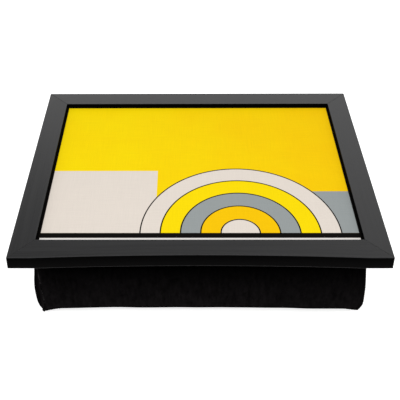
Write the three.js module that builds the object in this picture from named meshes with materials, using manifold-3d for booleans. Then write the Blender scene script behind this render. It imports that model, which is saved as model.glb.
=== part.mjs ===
// Lap tray for breakfast in bed: a mitred picture-frame tray round a recessed printed panel,
// standing on a fabric cushion filled with beads.
// Millimetres, +Z up, front edge towards -Y. The origin is on the table, under the middle of the tray.

import * as THREE from 'three';
import { mergeVertices } from 'three/addons/utils/BufferGeometryUtils.js';
import Module from 'manifold-3d';

// Frame moulding
const TRAY_WIDTH = 430;
const TRAY_DEPTH = 330;
const RAIL_WIDTH = 28;
const RAIL_HEIGHT = 18;
const LIP_HEIGHT = 7;
const REBATE_WIDTH = 7;
const TOP_EDGE_RADIUS = 1.4;
const SIGHT_EDGE_RADIUS = 0.8;
const LOWER_EDGE_RADIUS = 1;

// Scoop along the front rail, drawn in most in the middle, and further at its top than at its foot
const SCOOP_DEPTH = 4.5;
const SCOOP_FOOT_DEPTH = 2.8;

// V-nails that pull each mitre together from below
const V_NAIL_LEG = 5;
const V_NAIL_THICKNESS = 0.8;
const V_NAIL_HEIGHT = 10;
const V_NAIL_SINK = 0.5;
const V_NAIL_HALF_ANGLE = THREE.MathUtils.degToRad(40);
const V_NAILS_PER_MITRE = 2;

// Sheets stacked in the rebate, from the lip downwards
const PRINT_THICKNESS = 0.8;
const TRAY_BOARD_THICKNESS = 3;
const CUSHION_BOARD_THICKNESS = 3;

// Staples that hold the turned-in edge of the cover
const STAPLE_CROWN = 11;
const STAPLE_WIRE = 0.7;
const STAPLE_TIP_COVER = 1;
const STAPLE_BEND = 0.6;
const STAPLES_PER_LONG_SIDE = 4;
const STAPLES_PER_SHORT_SIDE = 3;

// Cushion
const CUSHION_HEIGHT = 99;
const COVER_THICKNESS = 1.2;
const HEM_TURN_IN = 18;
const COLLAR_CORNER_RADIUS = 7;
const BELLY_SWELL = 8;
const BELLY_HEIGHT = 26;
const BELLY_BOW = 1.5;
const BELLY_CORNER_RADIUS = 16;
const SEAM_OUTSET = 2.5;
const SEAM_DRAW_IN = 5;
const SEAM_TIP_HEIGHT = 4;
const SEAM_LIFT = 3;
const SEAM_CORNER_RADIUS = 5;
const TIP_SHARPNESS = 4;
const BASE_ROLL = 24;

// Clearances
const GLUE_LINE = 0.1;
const FIT_GAP = 0.3;
const PANEL_CLEARANCE = 0.5;

// Facets
const EDGE_SEGMENTS = 5;
const SCOOP_STEPS = 12;
const STAPLE_BEND_SEGMENTS = 2;
const PRINT_FIELDS = 3;
const CORNER_SEGMENTS = 3;
const SIDE_SEGMENTS = 5;
const BASE_STEPS = 3;
const SIDE_STEPS = 4;

// Levels, from the table up to the rim
const frameBottom = CUSHION_HEIGHT;
const frameTop = frameBottom + RAIL_HEIGHT;
const printTop = frameTop - LIP_HEIGHT - GLUE_LINE;
const trayBoardTop = printTop - PRINT_THICKNESS - GLUE_LINE;
const stapleTop = trayBoardTop - TRAY_BOARD_THICKNESS - FIT_GAP;
const hemTop = stapleTop - STAPLE_WIRE - GLUE_LINE;
const hemBottom = hemTop - COVER_THICKNESS;
const cushionBoardTop = hemBottom - GLUE_LINE;
const cushionBoardBottom = cushionBoardTop - CUSHION_BOARD_THICKNESS;
const stapleFoot = cushionBoardBottom + STAPLE_TIP_COVER;
const fillTop = cushionBoardBottom - FIT_GAP;
const collarHeight = Math.min(frameBottom, fillTop) - FIT_GAP;

// Plan sizes, each measured from the middle of the tray
const rebateHalfX = TRAY_WIDTH / 2 - RAIL_WIDTH + REBATE_WIDTH;
const rebateHalfY = TRAY_DEPTH / 2 - RAIL_WIDTH + REBATE_WIDTH;
const coverHalfX = rebateHalfX - FIT_GAP;
const coverHalfY = rebateHalfY - FIT_GAP;
const boardInset = COVER_THICKNESS + FIT_GAP;
const stapleSetback = (boardInset + HEM_TURN_IN) / 2;

const UP = new THREE.Vector3(0, 0, 1);

const wasm = await Module();
wasm.setup();

const finishes = {
  frame: new THREE.MeshStandardMaterial({ color: 0x2e2e31, roughness: 0.5, metalness: 0 }),
  print: new THREE.MeshStandardMaterial({ color: 0xf3ca12, roughness: 0.45, metalness: 0 }),
  fibreboard: new THREE.MeshStandardMaterial({ color: 0x9c7d58, roughness: 0.85, metalness: 0 }),
  hardboard: new THREE.MeshStandardMaterial({ color: 0x6b4a2e, roughness: 0.8, metalness: 0 }),
  fabric: new THREE.MeshStandardMaterial({ color: 0x121112, roughness: 0.95, metalness: 0 }),
  beads: new THREE.MeshStandardMaterial({ color: 0xf1f1ec, roughness: 0.9, metalness: 0 }),
  steel: new THREE.MeshStandardMaterial({ color: 0xb4b7ba, roughness: 0.35, metalness: 1 }),
};

const tray = new THREE.Group();

function addPiece(name, geometry, material, parent = tray) {
  const piece = new THREE.Mesh(geometry, material);
  piece.name = name;
  parent.add(piece);
  return piece;
}

// Cuts in closed meshes
function toSolid(geometry) {
  const bare = geometry.clone();
  bare.deleteAttribute('normal');
  bare.deleteAttribute('uv');
  const merged = mergeVertices(bare);
  return new wasm.Manifold(new wasm.Mesh({
    numProp: 3,
    vertProperties: new Float32Array(merged.getAttribute('position').array),
    triVerts: new Uint32Array(merged.getIndex().array),
  }));
}

function cut(geometry, cutters) {
  let solid = toSolid(geometry);
  for (const cutter of cutters) {
    solid = solid.subtract(toSolid(cutter));
  }
  const mesh = solid.getMesh();
  const result = new THREE.BufferGeometry();
  result.setAttribute('position', new THREE.BufferAttribute(mesh.vertProperties, 3));
  result.setIndex(new THREE.BufferAttribute(mesh.triVerts, 1));
  result.computeVertexNormals();
  return result;
}

// V-nail: a folded strip, its point on the mitre line and facing the tray's middle (+Y here).
// Its slot in the rails is the same form, grown by a gap and run down through the underside.
function vNailGeometry(grow = 0, drop = 0) {
  const half = V_NAIL_THICKNESS / 2 + grow;
  const leg = V_NAIL_LEG + grow;
  const across = Math.sin(V_NAIL_HALF_ANGLE);
  const along = Math.cos(V_NAIL_HALF_ANGLE);
  const tip = half / across;
  const outer = (side) => [side * (leg * across + half * along), -leg * along + half * across];
  const inner = (side) => [side * (leg * across - half * along), -leg * along - half * across];
  const fold = new THREE.Shape();
  fold.moveTo(0, tip);
  fold.lineTo(...outer(-1));
  fold.lineTo(...inner(-1));
  fold.lineTo(0, -tip);
  fold.lineTo(...inner(1));
  fold.lineTo(...outer(1));
  fold.closePath();
  const geometry = new THREE.ExtrudeGeometry(fold, {
    depth: drop + V_NAIL_HEIGHT + grow,
    bevelEnabled: false,
  });
  return geometry.translate(0, 0, -drop);
}

// Distances of the V-nails from the outer corner, spread along the mitre of the rail's thick part
function vNailDistances() {
  const mitreLength = (RAIL_WIDTH - REBATE_WIDTH) * Math.SQRT2;
  const pitch = mitreLength / (V_NAILS_PER_MITRE + 1);
  const centring = V_NAIL_LEG * Math.cos(V_NAIL_HALF_ANGLE) / 2;
  return Array.from({ length: V_NAILS_PER_MITRE }, (_, i) => pitch * (i + 1) + centring);
}

// Rail: the moulding's section, measured inwards from the outer face and upwards from the underside
function mouldingSection() {
  const section = new THREE.Shape();
  const lipBottom = RAIL_HEIGHT - LIP_HEIGHT;
  const rebateFace = RAIL_WIDTH - REBATE_WIDTH;
  const quarter = Math.PI / 2;
  section.moveTo(rebateFace, 0);
  section.lineTo(rebateFace, lipBottom);
  section.lineTo(RAIL_WIDTH, lipBottom);
  section.absarc(RAIL_WIDTH - SIGHT_EDGE_RADIUS, RAIL_HEIGHT - SIGHT_EDGE_RADIUS, SIGHT_EDGE_RADIUS,
    0, quarter);
  section.absarc(TOP_EDGE_RADIUS, RAIL_HEIGHT - TOP_EDGE_RADIUS, TOP_EDGE_RADIUS, quarter, 2 * quarter);
  section.absarc(LOWER_EDGE_RADIUS, LOWER_EDGE_RADIUS, LOWER_EDGE_RADIUS, 2 * quarter, 3 * quarter);
  section.closePath();
  return section;
}

// How far the scoop draws the outer face in at a height, for a share of the way from its middle to its end
function scoopAt(share, upwards) {
  const depth = THREE.MathUtils.lerp(SCOOP_FOOT_DEPTH, SCOOP_DEPTH, upwards / RAIL_HEIGHT);
  return depth * Math.max(1 - share ** 2, 0);
}

// A rail with 45 degree ends, its outer face on y = 0 and its underside on z = 0.
// A scoop runs between the inner ends of the mitres, over stations of its own.
function railGeometry(length, scooped) {
  const reach = (length / 2 - RAIL_WIDTH) / (length / 2);
  const stations = [-1, 1];
  if (scooped) {
    const arc = Array.from({ length: SCOOP_STEPS + 1 }, (_, i) => reach * (2 * i / SCOOP_STEPS - 1));
    stations.splice(1, 0, ...arc);
  }
  const geometry = new THREE.ExtrudeGeometry(mouldingSection(), {
    depth: 1,
    steps: stations.length - 1,
    bevelEnabled: false,
    curveSegments: EDGE_SEGMENTS,
  });
  const position = geometry.getAttribute('position');
  for (let i = 0; i < position.count; i += 1) {
    const inwards = position.getX(i);
    const upwards = position.getY(i);
    const station = stations[Math.round(position.getZ(i) * (stations.length - 1))];
    const atOuterFace = inwards < RAIL_WIDTH - REBATE_WIDTH;
    const drawnIn = scooped && atOuterFace ? scoopAt(station / reach, upwards) : 0;
    position.setXYZ(i, station * (length / 2 - inwards - GLUE_LINE), inwards + drawnIn, upwards);
  }
  const slots = [];
  for (const end of [-1, 1]) {
    for (const distance of vNailDistances()) {
      const slot = vNailGeometry(FIT_GAP, V_NAIL_SINK + FIT_GAP);
      const offset = distance / Math.SQRT2;
      slot.rotateZ(end * Math.PI / 4);
      slot.translate(end * (length / 2 - offset), offset, V_NAIL_SINK);
      slots.push(slot);
    }
  }
  return cut(geometry, slots);
}

function addFrame() {
  const rails = [
    ['rail_front', TRAY_WIDTH, TRAY_DEPTH, 0, true],
    ['rail_right', TRAY_DEPTH, TRAY_WIDTH, 1, false],
    ['rail_back', TRAY_WIDTH, TRAY_DEPTH, 2, false],
    ['rail_left', TRAY_DEPTH, TRAY_WIDTH, 3, false],
  ];
  for (const [name, length, span, turns, scooped] of rails) {
    const side = new THREE.Group();
    side.rotation.z = turns * Math.PI / 2;
    tray.add(side);
    const rail = addPiece(name, railGeometry(length, scooped), finishes.frame, side);
    rail.position.set(0, -span / 2, frameBottom);
  }
}

function addVNails() {
  const corners = { front_left: [-1, -1], front_right: [1, -1], back_right: [1, 1], back_left: [-1, 1] };
  for (const [corner, [sideX, sideY]] of Object.entries(corners)) {
    const mitre = new THREE.Group();
    mitre.position.set(sideX * TRAY_WIDTH / 2, sideY * TRAY_DEPTH / 2, frameBottom + V_NAIL_SINK);
    mitre.rotation.z = Math.atan2(-sideY, -sideX) - Math.PI / 2;
    tray.add(mitre);
    vNailDistances().forEach((distance, i) => {
      const nail = addPiece(`v_nail_${corner}_${i + 1}`, vNailGeometry(), finishes.steel, mitre);
      nail.position.y = distance;
    });
  }
}

// Sheets in the rebate: the print is divided into fields, so that its middle one lies clear of the lips
function addTraySheets() {
  const width = 2 * (rebateHalfX - PANEL_CLEARANCE);
  const depth = 2 * (rebateHalfY - PANEL_CLEARANCE);
  const print = new THREE.BoxGeometry(width, depth, PRINT_THICKNESS, PRINT_FIELDS, PRINT_FIELDS);
  addPiece('laminated_print', print, finishes.print).position.z = printTop - PRINT_THICKNESS / 2;
  const board = new THREE.BoxGeometry(width, depth, TRAY_BOARD_THICKNESS);
  addPiece('tray_board', board, finishes.fibreboard).position.z = trayBoardTop - TRAY_BOARD_THICKNESS / 2;
}

// One closed loop round the cushion: four sides that may bow out or draw in, joined by round corners.
// The loop keeps its height at the corners and is lifted in the middle of each side.
function cushionLoop({ inset, bow, radius, height, lift }) {
  const halfX = coverHalfX - inset;
  const halfY = coverHalfY - inset;
  const loop = [];
  for (let quarter = 0; quarter < 4; quarter += 1) {
    const turn = quarter * Math.PI / 2;
    const along = quarter % 2 === 0 ? halfY - radius : halfX - radius;
    const out = quarter % 2 === 0 ? halfX : halfY;
    for (let i = 1; i < SIDE_SEGMENTS; i += 1) {
      const share = 2 * i / SIDE_SEGMENTS - 1;
      const rise = 1 - Math.abs(share) ** TIP_SHARPNESS;
      const point = new THREE.Vector3(out + bow * rise, share * along, height + lift * rise);
      loop.push(point.applyAxisAngle(UP, turn));
    }
    for (let i = 0; i <= CORNER_SEGMENTS; i += 1) {
      const angle = i / CORNER_SEGMENTS * Math.PI / 2;
      const x = out - radius + radius * Math.cos(angle);
      const y = along + radius * Math.sin(angle);
      loop.push(new THREE.Vector3(x, y, height).applyAxisAngle(UP, turn));
    }
  }
  return loop;
}

// Closed skin over a row of loops, with a flat fan at each end.
// Every square is split the same way on the way up as on the way down, so that nested skins run parallel.
function skin(loops) {
  const count = loops[0].length;
  const vertices = loops.flat();
  const index = [];
  for (let row = 0; row < loops.length - 1; row += 1) {
    const rising = loops[row + 1][0].z >= loops[row][0].z;
    for (let i = 0; i < count; i += 1) {
      const a = row * count + i;
      const b = row * count + (i + 1) % count;
      const c = b + count;
      const d = a + count;
      if (rising) {
        index.push(a, b, c, a, c, d);
      } else {
        index.push(a, b, d, b, c, d);
      }
    }
  }
  for (const [row, flip] of [[0, true], [loops.length - 1, false]]) {
    const middle = vertices.length;
    vertices.push(new THREE.Vector3(0, 0, loops[row][0].z));
    for (let i = 0; i < count; i += 1) {
      const a = row * count + i;
      const b = row * count + (i + 1) % count;
      index.push(middle, flip ? b : a, flip ? a : b);
    }
  }
  const geometry = new THREE.BufferGeometry().setFromPoints(vertices);
  geometry.setIndex(index);
  geometry.computeVertexNormals();
  return geometry;
}

// Loops of the cushion's form from the middle of its base up to its collar under the rails.
// The form lies a given depth inside the outer face of the cover.
function cushionForm(depth) {
  const corner = (radius) => Math.max(radius - depth, FIT_GAP);
  const base = {
    inset: BASE_ROLL - SEAM_OUTSET + depth,
    bow: -SEAM_DRAW_IN,
    radius: corner(SEAM_CORNER_RADIUS),
    height: depth,
    lift: 0,
  };
  const seam = {
    inset: depth - SEAM_OUTSET,
    bow: -SEAM_DRAW_IN,
    radius: corner(SEAM_CORNER_RADIUS),
    height: SEAM_TIP_HEIGHT + depth,
    lift: SEAM_LIFT,
  };
  const belly = {
    inset: depth - BELLY_SWELL,
    bow: BELLY_BOW,
    radius: corner(BELLY_CORNER_RADIUS),
    height: BELLY_HEIGHT,
    lift: 0,
  };
  const collar = {
    inset: depth,
    bow: 0,
    radius: corner(COLLAR_CORNER_RADIUS),
    height: collarHeight,
    lift: 0,
  };
  const loops = [];
  const sweep = (from, to, steps, plan, rise) => {
    for (let i = 1; i <= steps; i += 1) {
      const angle = i / steps * Math.PI / 2;
      const mix = (key, share) => THREE.MathUtils.lerp(from[key], to[key], share);
      loops.push(cushionLoop({
        inset: mix('inset', plan(angle)),
        bow: mix('bow', plan(angle)),
        radius: mix('radius', plan(angle)),
        height: mix('height', rise(angle)),
        lift: mix('lift', rise(angle)),
      }));
    }
  };
  const easeOut = (angle) => Math.sin(angle);
  const easeIn = (angle) => 1 - Math.cos(angle);
  const easeBoth = (angle) => Math.sin(angle) ** 2;
  const steady = (angle) => 2 * angle / Math.PI;
  loops.push(cushionLoop(base));
  sweep(base, seam, BASE_STEPS, easeOut, easeIn);
  sweep(seam, belly, SIDE_STEPS, easeOut, easeIn);
  sweep(belly, collar, SIDE_STEPS, easeBoth, steady);
  return loops;
}

function stapleGeometry() {
  const half = STAPLE_CROWN / 2;
  const foot = stapleFoot - stapleTop;
  const wire = new THREE.Shape();
  wire.moveTo(half, foot);
  wire.absarc(half - STAPLE_BEND, -STAPLE_BEND, STAPLE_BEND, 0, Math.PI / 2);
  wire.absarc(STAPLE_BEND - half, -STAPLE_BEND, STAPLE_BEND, Math.PI / 2, Math.PI);
  wire.lineTo(-half, foot);
  wire.lineTo(STAPLE_WIRE - half, foot);
  wire.lineTo(STAPLE_WIRE - half, -STAPLE_WIRE);
  wire.lineTo(half - STAPLE_WIRE, -STAPLE_WIRE);
  wire.lineTo(half - STAPLE_WIRE, foot);
  wire.closePath();
  const geometry = new THREE.ExtrudeGeometry(wire, {
    depth: STAPLE_WIRE,
    bevelEnabled: false,
    curveSegments: STAPLE_BEND_SEGMENTS,
  });
  geometry.translate(0, 0, -STAPLE_WIRE / 2);
  geometry.rotateX(Math.PI / 2);
  return geometry;
}

// Places of the staples along the middle of the turned-in edge
function stapleSeats() {
  const sides = [
    ['front', STAPLES_PER_LONG_SIDE, coverHalfX, coverHalfY, 0],
    ['right', STAPLES_PER_SHORT_SIDE, coverHalfY, coverHalfX, 1],
    ['back', STAPLES_PER_LONG_SIDE, coverHalfX, coverHalfY, 2],
    ['left', STAPLES_PER_SHORT_SIDE, coverHalfY, coverHalfX, 3],
  ];
  const seats = [];
  for (const [side, count, reach, out, turns] of sides) {
    for (let i = 0; i < count; i += 1) {
      const along = reach * ((2 * i + 1) / count - 1);
      const angle = turns * Math.PI / 2;
      const point = new THREE.Vector3(along, stapleSetback - out, stapleTop);
      point.applyAxisAngle(UP, angle);
      seats.push({ name: `staple_${side}_${i + 1}`, point, angle });
    }
  }
  return seats;
}

// Two holes for each staple's legs, through the cover and into the board
function stapleHoles() {
  const width = STAPLE_WIRE + 2 * FIT_GAP;
  const bottom = stapleFoot - FIT_GAP;
  const holes = [];
  for (const { point, angle } of stapleSeats()) {
    for (const leg of [-1, 1]) {
      const hole = new THREE.BoxGeometry(width, width, stapleTop - bottom);
      hole.translate(leg * (STAPLE_CROWN - STAPLE_WIRE) / 2, 0, 0);
      hole.rotateZ(angle);
      hole.translate(point.x, point.y, (stapleTop + bottom) / 2);
      holes.push(hole);
    }
  }
  return holes;
}

function addStaples() {
  for (const { name, point, angle } of stapleSeats()) {
    const staple = addPiece(name, stapleGeometry(), finishes.steel);
    staple.position.copy(point);
    staple.rotation.z = angle;
  }
}

// Cover: the form's outer skin, up into the rebate, turned in over the board and back down inside
function addCover() {
  const turned = { bow: 0, radius: COLLAR_CORNER_RADIUS, lift: 0 };
  const lining = { bow: 0, radius: COLLAR_CORNER_RADIUS - COVER_THICKNESS, lift: 0 };
  const loops = [
    ...cushionForm(0),
    cushionLoop({ ...turned, inset: 0, height: hemTop }),
    cushionLoop({ ...lining, inset: HEM_TURN_IN, height: hemTop }),
    cushionLoop({ ...lining, inset: HEM_TURN_IN, height: hemBottom }),
    cushionLoop({ ...lining, inset: COVER_THICKNESS, height: hemBottom }),
    ...cushionForm(COVER_THICKNESS).reverse(),
  ];
  addPiece('cushion_cover', cut(skin(loops), stapleHoles()), finishes.fabric);
}

function addCushionBoard() {
  const halfX = coverHalfX - boardInset;
  const halfY = coverHalfY - boardInset;
  const radius = COLLAR_CORNER_RADIUS;
  const outline = new THREE.Shape();
  outline.absarc(halfX - radius, halfY - radius, radius, 0, Math.PI / 2);
  outline.absarc(radius - halfX, halfY - radius, radius, Math.PI / 2, Math.PI);
  outline.absarc(radius - halfX, radius - halfY, radius, Math.PI, 1.5 * Math.PI);
  outline.absarc(halfX - radius, radius - halfY, radius, 1.5 * Math.PI, 2 * Math.PI);
  outline.closePath();
  const board = new THREE.ExtrudeGeometry(outline, {
    depth: CUSHION_BOARD_THICKNESS,
    bevelEnabled: false,
    curveSegments: EDGE_SEGMENTS,
  });
  board.translate(0, 0, cushionBoardBottom);
  addPiece('cushion_board', cut(board, stapleHoles()), finishes.hardboard);
}

// Filling: the form inside the cover, levelled off under the board
function addFilling() {
  const depth = COVER_THICKNESS + FIT_GAP;
  const level = {
    inset: depth,
    bow: 0,
    radius: COLLAR_CORNER_RADIUS - depth,
    height: fillTop,
    lift: 0,
  };
  addPiece('bead_fill', skin([...cushionForm(depth), cushionLoop(level)]), finishes.beads);
}

addFrame();
addVNails();
addTraySheets();
addCover();
addCushionBoard();
addStaples();
addFilling();

export default tray;
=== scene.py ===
"""Breakfast lap tray: the looks of its frame, printed panel and bead cushion, made round the CAD frame.

Laid out as an add-on: settings, one operator for each group of like pieces and one for the stage,
and a panel that lists them.
Metres, +Z up, the front edge towards -Y, the origin on the table under the middle of the tray.
"""

import math

import bmesh
import bpy
from bl_math import smoothstep
from bpy.props import FloatProperty, FloatVectorProperty, PointerProperty
from mathutils import Matrix, Vector, noise


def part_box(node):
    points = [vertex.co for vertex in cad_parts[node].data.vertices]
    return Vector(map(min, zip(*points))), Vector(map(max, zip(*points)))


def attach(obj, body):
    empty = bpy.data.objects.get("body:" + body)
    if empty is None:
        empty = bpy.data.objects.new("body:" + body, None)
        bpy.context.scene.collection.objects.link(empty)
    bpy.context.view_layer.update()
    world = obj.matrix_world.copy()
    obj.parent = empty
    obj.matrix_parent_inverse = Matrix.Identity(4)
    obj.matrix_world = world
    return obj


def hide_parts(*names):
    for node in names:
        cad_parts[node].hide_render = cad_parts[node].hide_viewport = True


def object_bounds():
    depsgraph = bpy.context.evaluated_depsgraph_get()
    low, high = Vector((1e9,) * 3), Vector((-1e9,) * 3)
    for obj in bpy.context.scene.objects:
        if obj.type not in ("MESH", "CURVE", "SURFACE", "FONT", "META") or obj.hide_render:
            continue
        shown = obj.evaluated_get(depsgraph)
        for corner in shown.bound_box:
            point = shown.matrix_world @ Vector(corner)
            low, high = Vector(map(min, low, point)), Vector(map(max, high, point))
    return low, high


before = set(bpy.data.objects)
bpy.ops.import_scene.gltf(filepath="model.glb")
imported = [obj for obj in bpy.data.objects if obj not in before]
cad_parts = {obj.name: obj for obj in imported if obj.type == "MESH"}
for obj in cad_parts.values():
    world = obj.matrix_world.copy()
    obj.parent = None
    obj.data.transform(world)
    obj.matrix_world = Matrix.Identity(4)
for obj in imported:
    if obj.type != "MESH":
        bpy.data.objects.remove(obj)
CAD_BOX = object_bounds()

bl_info = {
    "name": "Breakfast Lap Tray",
    "version": (1, 0, 0),
    "blender": (4, 5, 0),
    "location": "3D View > Sidebar > Lap Tray",
    "description": "Mitred tray frame round a printed panel, on a bead cushion",
    "category": "Add Mesh",
}

MM = 0.001
TOLERANCE = 0.001 * MM
BODY = "root"

# Sizes from the frame, with the build's gaps and the rails' falls
TRAY_HALF = CAD_BOX[1]
RAIL_LOW, RAIL_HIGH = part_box("rail_front")
PRINT_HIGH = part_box("laminated_print")[1]
COVER_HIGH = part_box("cushion_cover")[1]
FILL_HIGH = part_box("bead_fill")[1]
GLUE_LINE = 0.1 * MM
PANEL_CLEARANCE = 0.5 * MM
FIT_GAP = 0.3 * MM
RAIL_WIDTH = RAIL_HIGH.y - RAIL_LOW.y
RAIL_HEIGHT = RAIL_HIGH.z - RAIL_LOW.z
TOP_FALL = 0.6 * MM
FOOT_FLARE = 0.8 * MM
FOOT_RISE = 0.7 * MM
OUTER_HEIGHT = RAIL_HEIGHT - TOP_FALL
LIP_HEIGHT = RAIL_HIGH.z - PRINT_HIGH.z - GLUE_LINE
SIGHT_HALF_X = TRAY_HALF.x - RAIL_WIDTH
SIGHT_HALF_Y = TRAY_HALF.y - RAIL_WIDTH
REBATE_WIDTH = PRINT_HIGH.x + PANEL_CLEARANCE - SIGHT_HALF_X
COLLAR_HALF_X = SIGHT_HALF_X + REBATE_WIDTH - FIT_GAP
COLLAR_HALF_Y = SIGHT_HALF_Y + REBATE_WIDTH - FIT_GAP


def length(name, description, millimetres):
    """A length, kept in metres."""
    return FloatProperty(
        name=name, description=description, default=millimetres * MM, unit="LENGTH", precision=4
    )


def angle(name, description, degrees):
    """A setting that is an angle."""
    return FloatProperty(
        name=name, description=description, default=math.radians(degrees), subtype="ANGLE", unit="ROTATION"
    )


def factor(name, description, default, highest=1.0):
    """A plain number from 0 upwards."""
    return FloatProperty(name=name, description=description, default=default, min=0.0, max=highest)


def colour(name, description, default):
    """A linear colour."""
    return FloatVectorProperty(
        name=name, description=description, default=default, subtype="COLOR", size=3, min=0.0, max=1.0
    )


class LapTrayFrameSettings(bpy.types.PropertyGroup):
    """Sizes and finish of the four rails."""

    top_edge: length("Top edge", "Radius of the outer top edge", 0.7)
    sight_edge: length("Sight edge", "Radius of the edge next to the print", 0.4)
    lower_edge: length("Lower edge", "Radius of the outer lower edge", 0.6)
    # Height of the painted highlight along the rounded lower edge.
    lit_foot_height: length("Foot line", "Height of the rubbed line along that edge", 0.75)
    mitre_edge: length("Mitre edge", "Softened edges of a mitre", 0.22)
    scoop: length("Scoop", "Draw-in of the front rail's top edge", 4.5)
    scoop_foot: length("Scoop foot", "Draw-in of the front rail's lower edge", 4.0)
    # Reach of the painted highlight from the rails' rounded edges.
    highlight_reach: length("Wear reach", "Reach of wear from an edge", 1.8)
    foil: colour("Foil", "Satin black of the rails' tops", (0.0030, 0.0030, 0.0034))
    streak: colour("Streak", "Paler streaks along the rails", (0.0125, 0.0125, 0.0132))
    side: colour("Side", "Matt black of the rails' sides", (0.0001, 0.0001, 0.0001))
    # Painted light from the floor: the sides turn to this paler black towards the foot.
    side_floor_light: colour("Low side", "Paler black low on the rails' sides", (0.0050, 0.0047, 0.0048))
    # Pale grey of the painted highlight on the rounded lower edge, where the floor lights it.
    lit: colour("Rubbed foot", "Bare grey of the rounded lower edge", (0.150, 0.145, 0.143))
    # Paler colour of the painted highlight along the rails' rounded edges.
    edge_highlight: colour("Worn edge", "Rubbed edges of the rails", (0.0150, 0.0150, 0.0160))


class LapTrayPrintSettings(bpy.types.PropertyGroup):
    """Layout and inks of the printed sheet."""

    yellow: colour("Yellow", "Ink of the large field", (0.92, 0.69, 0.003))
    deep_yellow: colour("Deep yellow", "Second yellow of field and bands", (0.90, 0.54, 0.003))
    cream: colour("Cream", "Ink of the pale block and bands", (0.74, 0.67, 0.60))
    grey: colour("Grey", "Ink of the grey block and bands", (0.30, 0.325, 0.325))
    strip: colour("Strip", "Pale strip along the front", (0.74, 0.705, 0.685))
    line: colour("Line", "Outlines and rule", (0.0040, 0.0035, 0.0030))
    border_left: length("Left border", "Dark border at the sheet's left", 2.4)
    border_right: length("Right border", "Dark border at the sheet's right", 1.9)
    border_back: length("Back border", "Dark border at the sheet's back", 0.6)
    strip_depth: length("Strip depth", "Depth of the pale strip", 9.6)
    rule_depth: length("Rule depth", "Depth of the rule behind the strip", 8.1)
    arch_x: length("Arch place", "Middle of the arch, from the tray's", 48.0)
    arch_radius: length("Arch radius", "Outer radius of the arch", 118.0)
    outline: length("Outline", "Width of the dark outlines", 1.6)


class LapTrayCushionSettings(bpy.types.PropertyGroup):
    """Form, filling and fabric of the cushion."""

    swell: length("Swell", "Reach of the belly beyond the collar", 7.8)
    belly_height: length("Belly height", "Height of the widest loop", 26.0)
    belly_bow: length("Belly bow", "Outward bow of the sides at the belly", 1.0)
    belly_corner: length("Belly corner", "Corner radius at the belly", 16.0)
    collar_corner: length("Collar corner", "Corner radius under the rails", 4.0)
    lean: length("Lean", "Settling of the bag to the right", 0.45)
    twist: angle("Twist", "Turn of the bag under the tray", 0.2)
    slump: length("Slump", "Extra swell of front and back at the right", 3.2)
    tip_ahead: length("Tip ahead", "Reach of the base seam's tips at front and back", 2.2)
    tip_aside: length("Tip aside", "Reach of the base seam's tips at the sides", -0.3)
    seam_draw_in: length("Seam draw-in", "Draw-in of the base seam between its tips", 2.8)
    seam_height: length("Seam height", "Height of the base seam at its tips", 3.0)
    seam_lift: length("Seam lift", "Extra height of the seam between its tips", 4.4)
    base_roll: length("Base roll", "Width of the round from seam to base", 24.0)
    pressure: factor("Pressure", "Pressure of the filling on the cover", 4.0, 20.0)
    firmness: factor("Firmness", "How far the panels keep their cut form", 0.3)
    most_swell: length("Most swell", "Cap on the movement under pressure", 6.0)
    lump: length("Lump", "Height of the lumps that the beads make", 0.5)
    lump_size: length("Lump size", "Distance between lumps", 34.0)
    cover_turn: angle("Cover turn", "Turn of the corner seams round the filling", 35.0)
    seam_radius: length("Seam radius", "Radius of the rolled seam", 0.8)
    seam_sink: length("Seam sink", "Depth of the corner seams in the fabric", 0.7)
    stitch: length("Stitch", "Length of a stitch along the seams", 3.2)
    tip_length: length("Tip length", "Reach of the bunched seams at a corner", 0.1)
    tip_gather: length("Tip gather", "Length of seam bunched at a corner", 12.0)
    hem: length("Hem", "Width of the edge turned in over the board", 18.0)
    cloth: length("Cloth", "Thickness of the fabric", 1.2)
    # Painted shade: the depth under the rails where the cover shows no paler nap.
    rail_shade: length("Untouched", "Height under the rails that is never rubbed", 20.0)
    # Reach of the painted highlight beside a corner seam.
    corner_highlight_reach: length("Rub reach", "Reach of the rubbed nap beside a corner seam", 5.0)
    # Painted shade on the two end panels: the share of the paler nap that they keep.
    end_panel_light: factor("End nap", "Share of the rubbed nap on the end panels", 0.6)
    # Black where the nap lies flat, and where painted shade under the rails hides the paler nap.
    fabric: colour("Fabric", "Black where the nap lies flat", (0.0002, 0.0002, 0.0002))
    # Paler black of the raised nap, faded out by painted shade towards the rails.
    nap: colour("Nap", "Paler black where it is rubbed up", (0.0126, 0.0110, 0.0117))
    # Paler black of the painted highlight on the rolled seams.
    seam_highlight: colour("Seam nap", "Paler black of the rubbed seams", (0.0270, 0.0241, 0.0251))


class LapTrayStageSettings(bpy.types.PropertyGroup):
    """Camera, floor and lights."""

    pitch: angle("Pitch", "Downward turn of the camera", 41.882)
    yaw: angle("Yaw", "Sideways turn of the camera", 0.514)
    roll: angle("Roll", "Tilt of the picture", -0.383)
    distance: length("Distance", "From the camera to the rim's middle", 867.8)
    aim_x: length("Aim across", "Sideways offset of the camera", -19.06)
    aim_y: length("Aim up", "Upward offset of the camera", -46.69)
    lens: FloatProperty(
        name="Lens", description="Focal length on a 36 mm sensor", default=60.75, unit="CAMERA"
    )
    crop: factor("Crop", "Off-centre cut by a share of the width", 0.0413)
    floor: colour("Floor", "Colour of the floor", (0.80, 0.80, 0.80))
    floor_glow: factor("Floor glow", "Light that the floor adds", 0.78)
    ambient: factor("Ambient", "Strength of the surrounding light", 0.50)
    softbox: factor("Softbox", "Power of the overhead softbox in watts", 14.6, 200.0)
    back_panel: factor("Back panel", "Power of the mirrored panel in watts", 18.0, 200.0)


SETTINGS = {
    "lap_tray_frame": LapTrayFrameSettings,
    "lap_tray_print": LapTrayPrintSettings,
    "lap_tray_cushion": LapTrayCushionSettings,
    "lap_tray_stage": LapTrayStageSettings,
}


# Meshes and pieces


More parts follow.
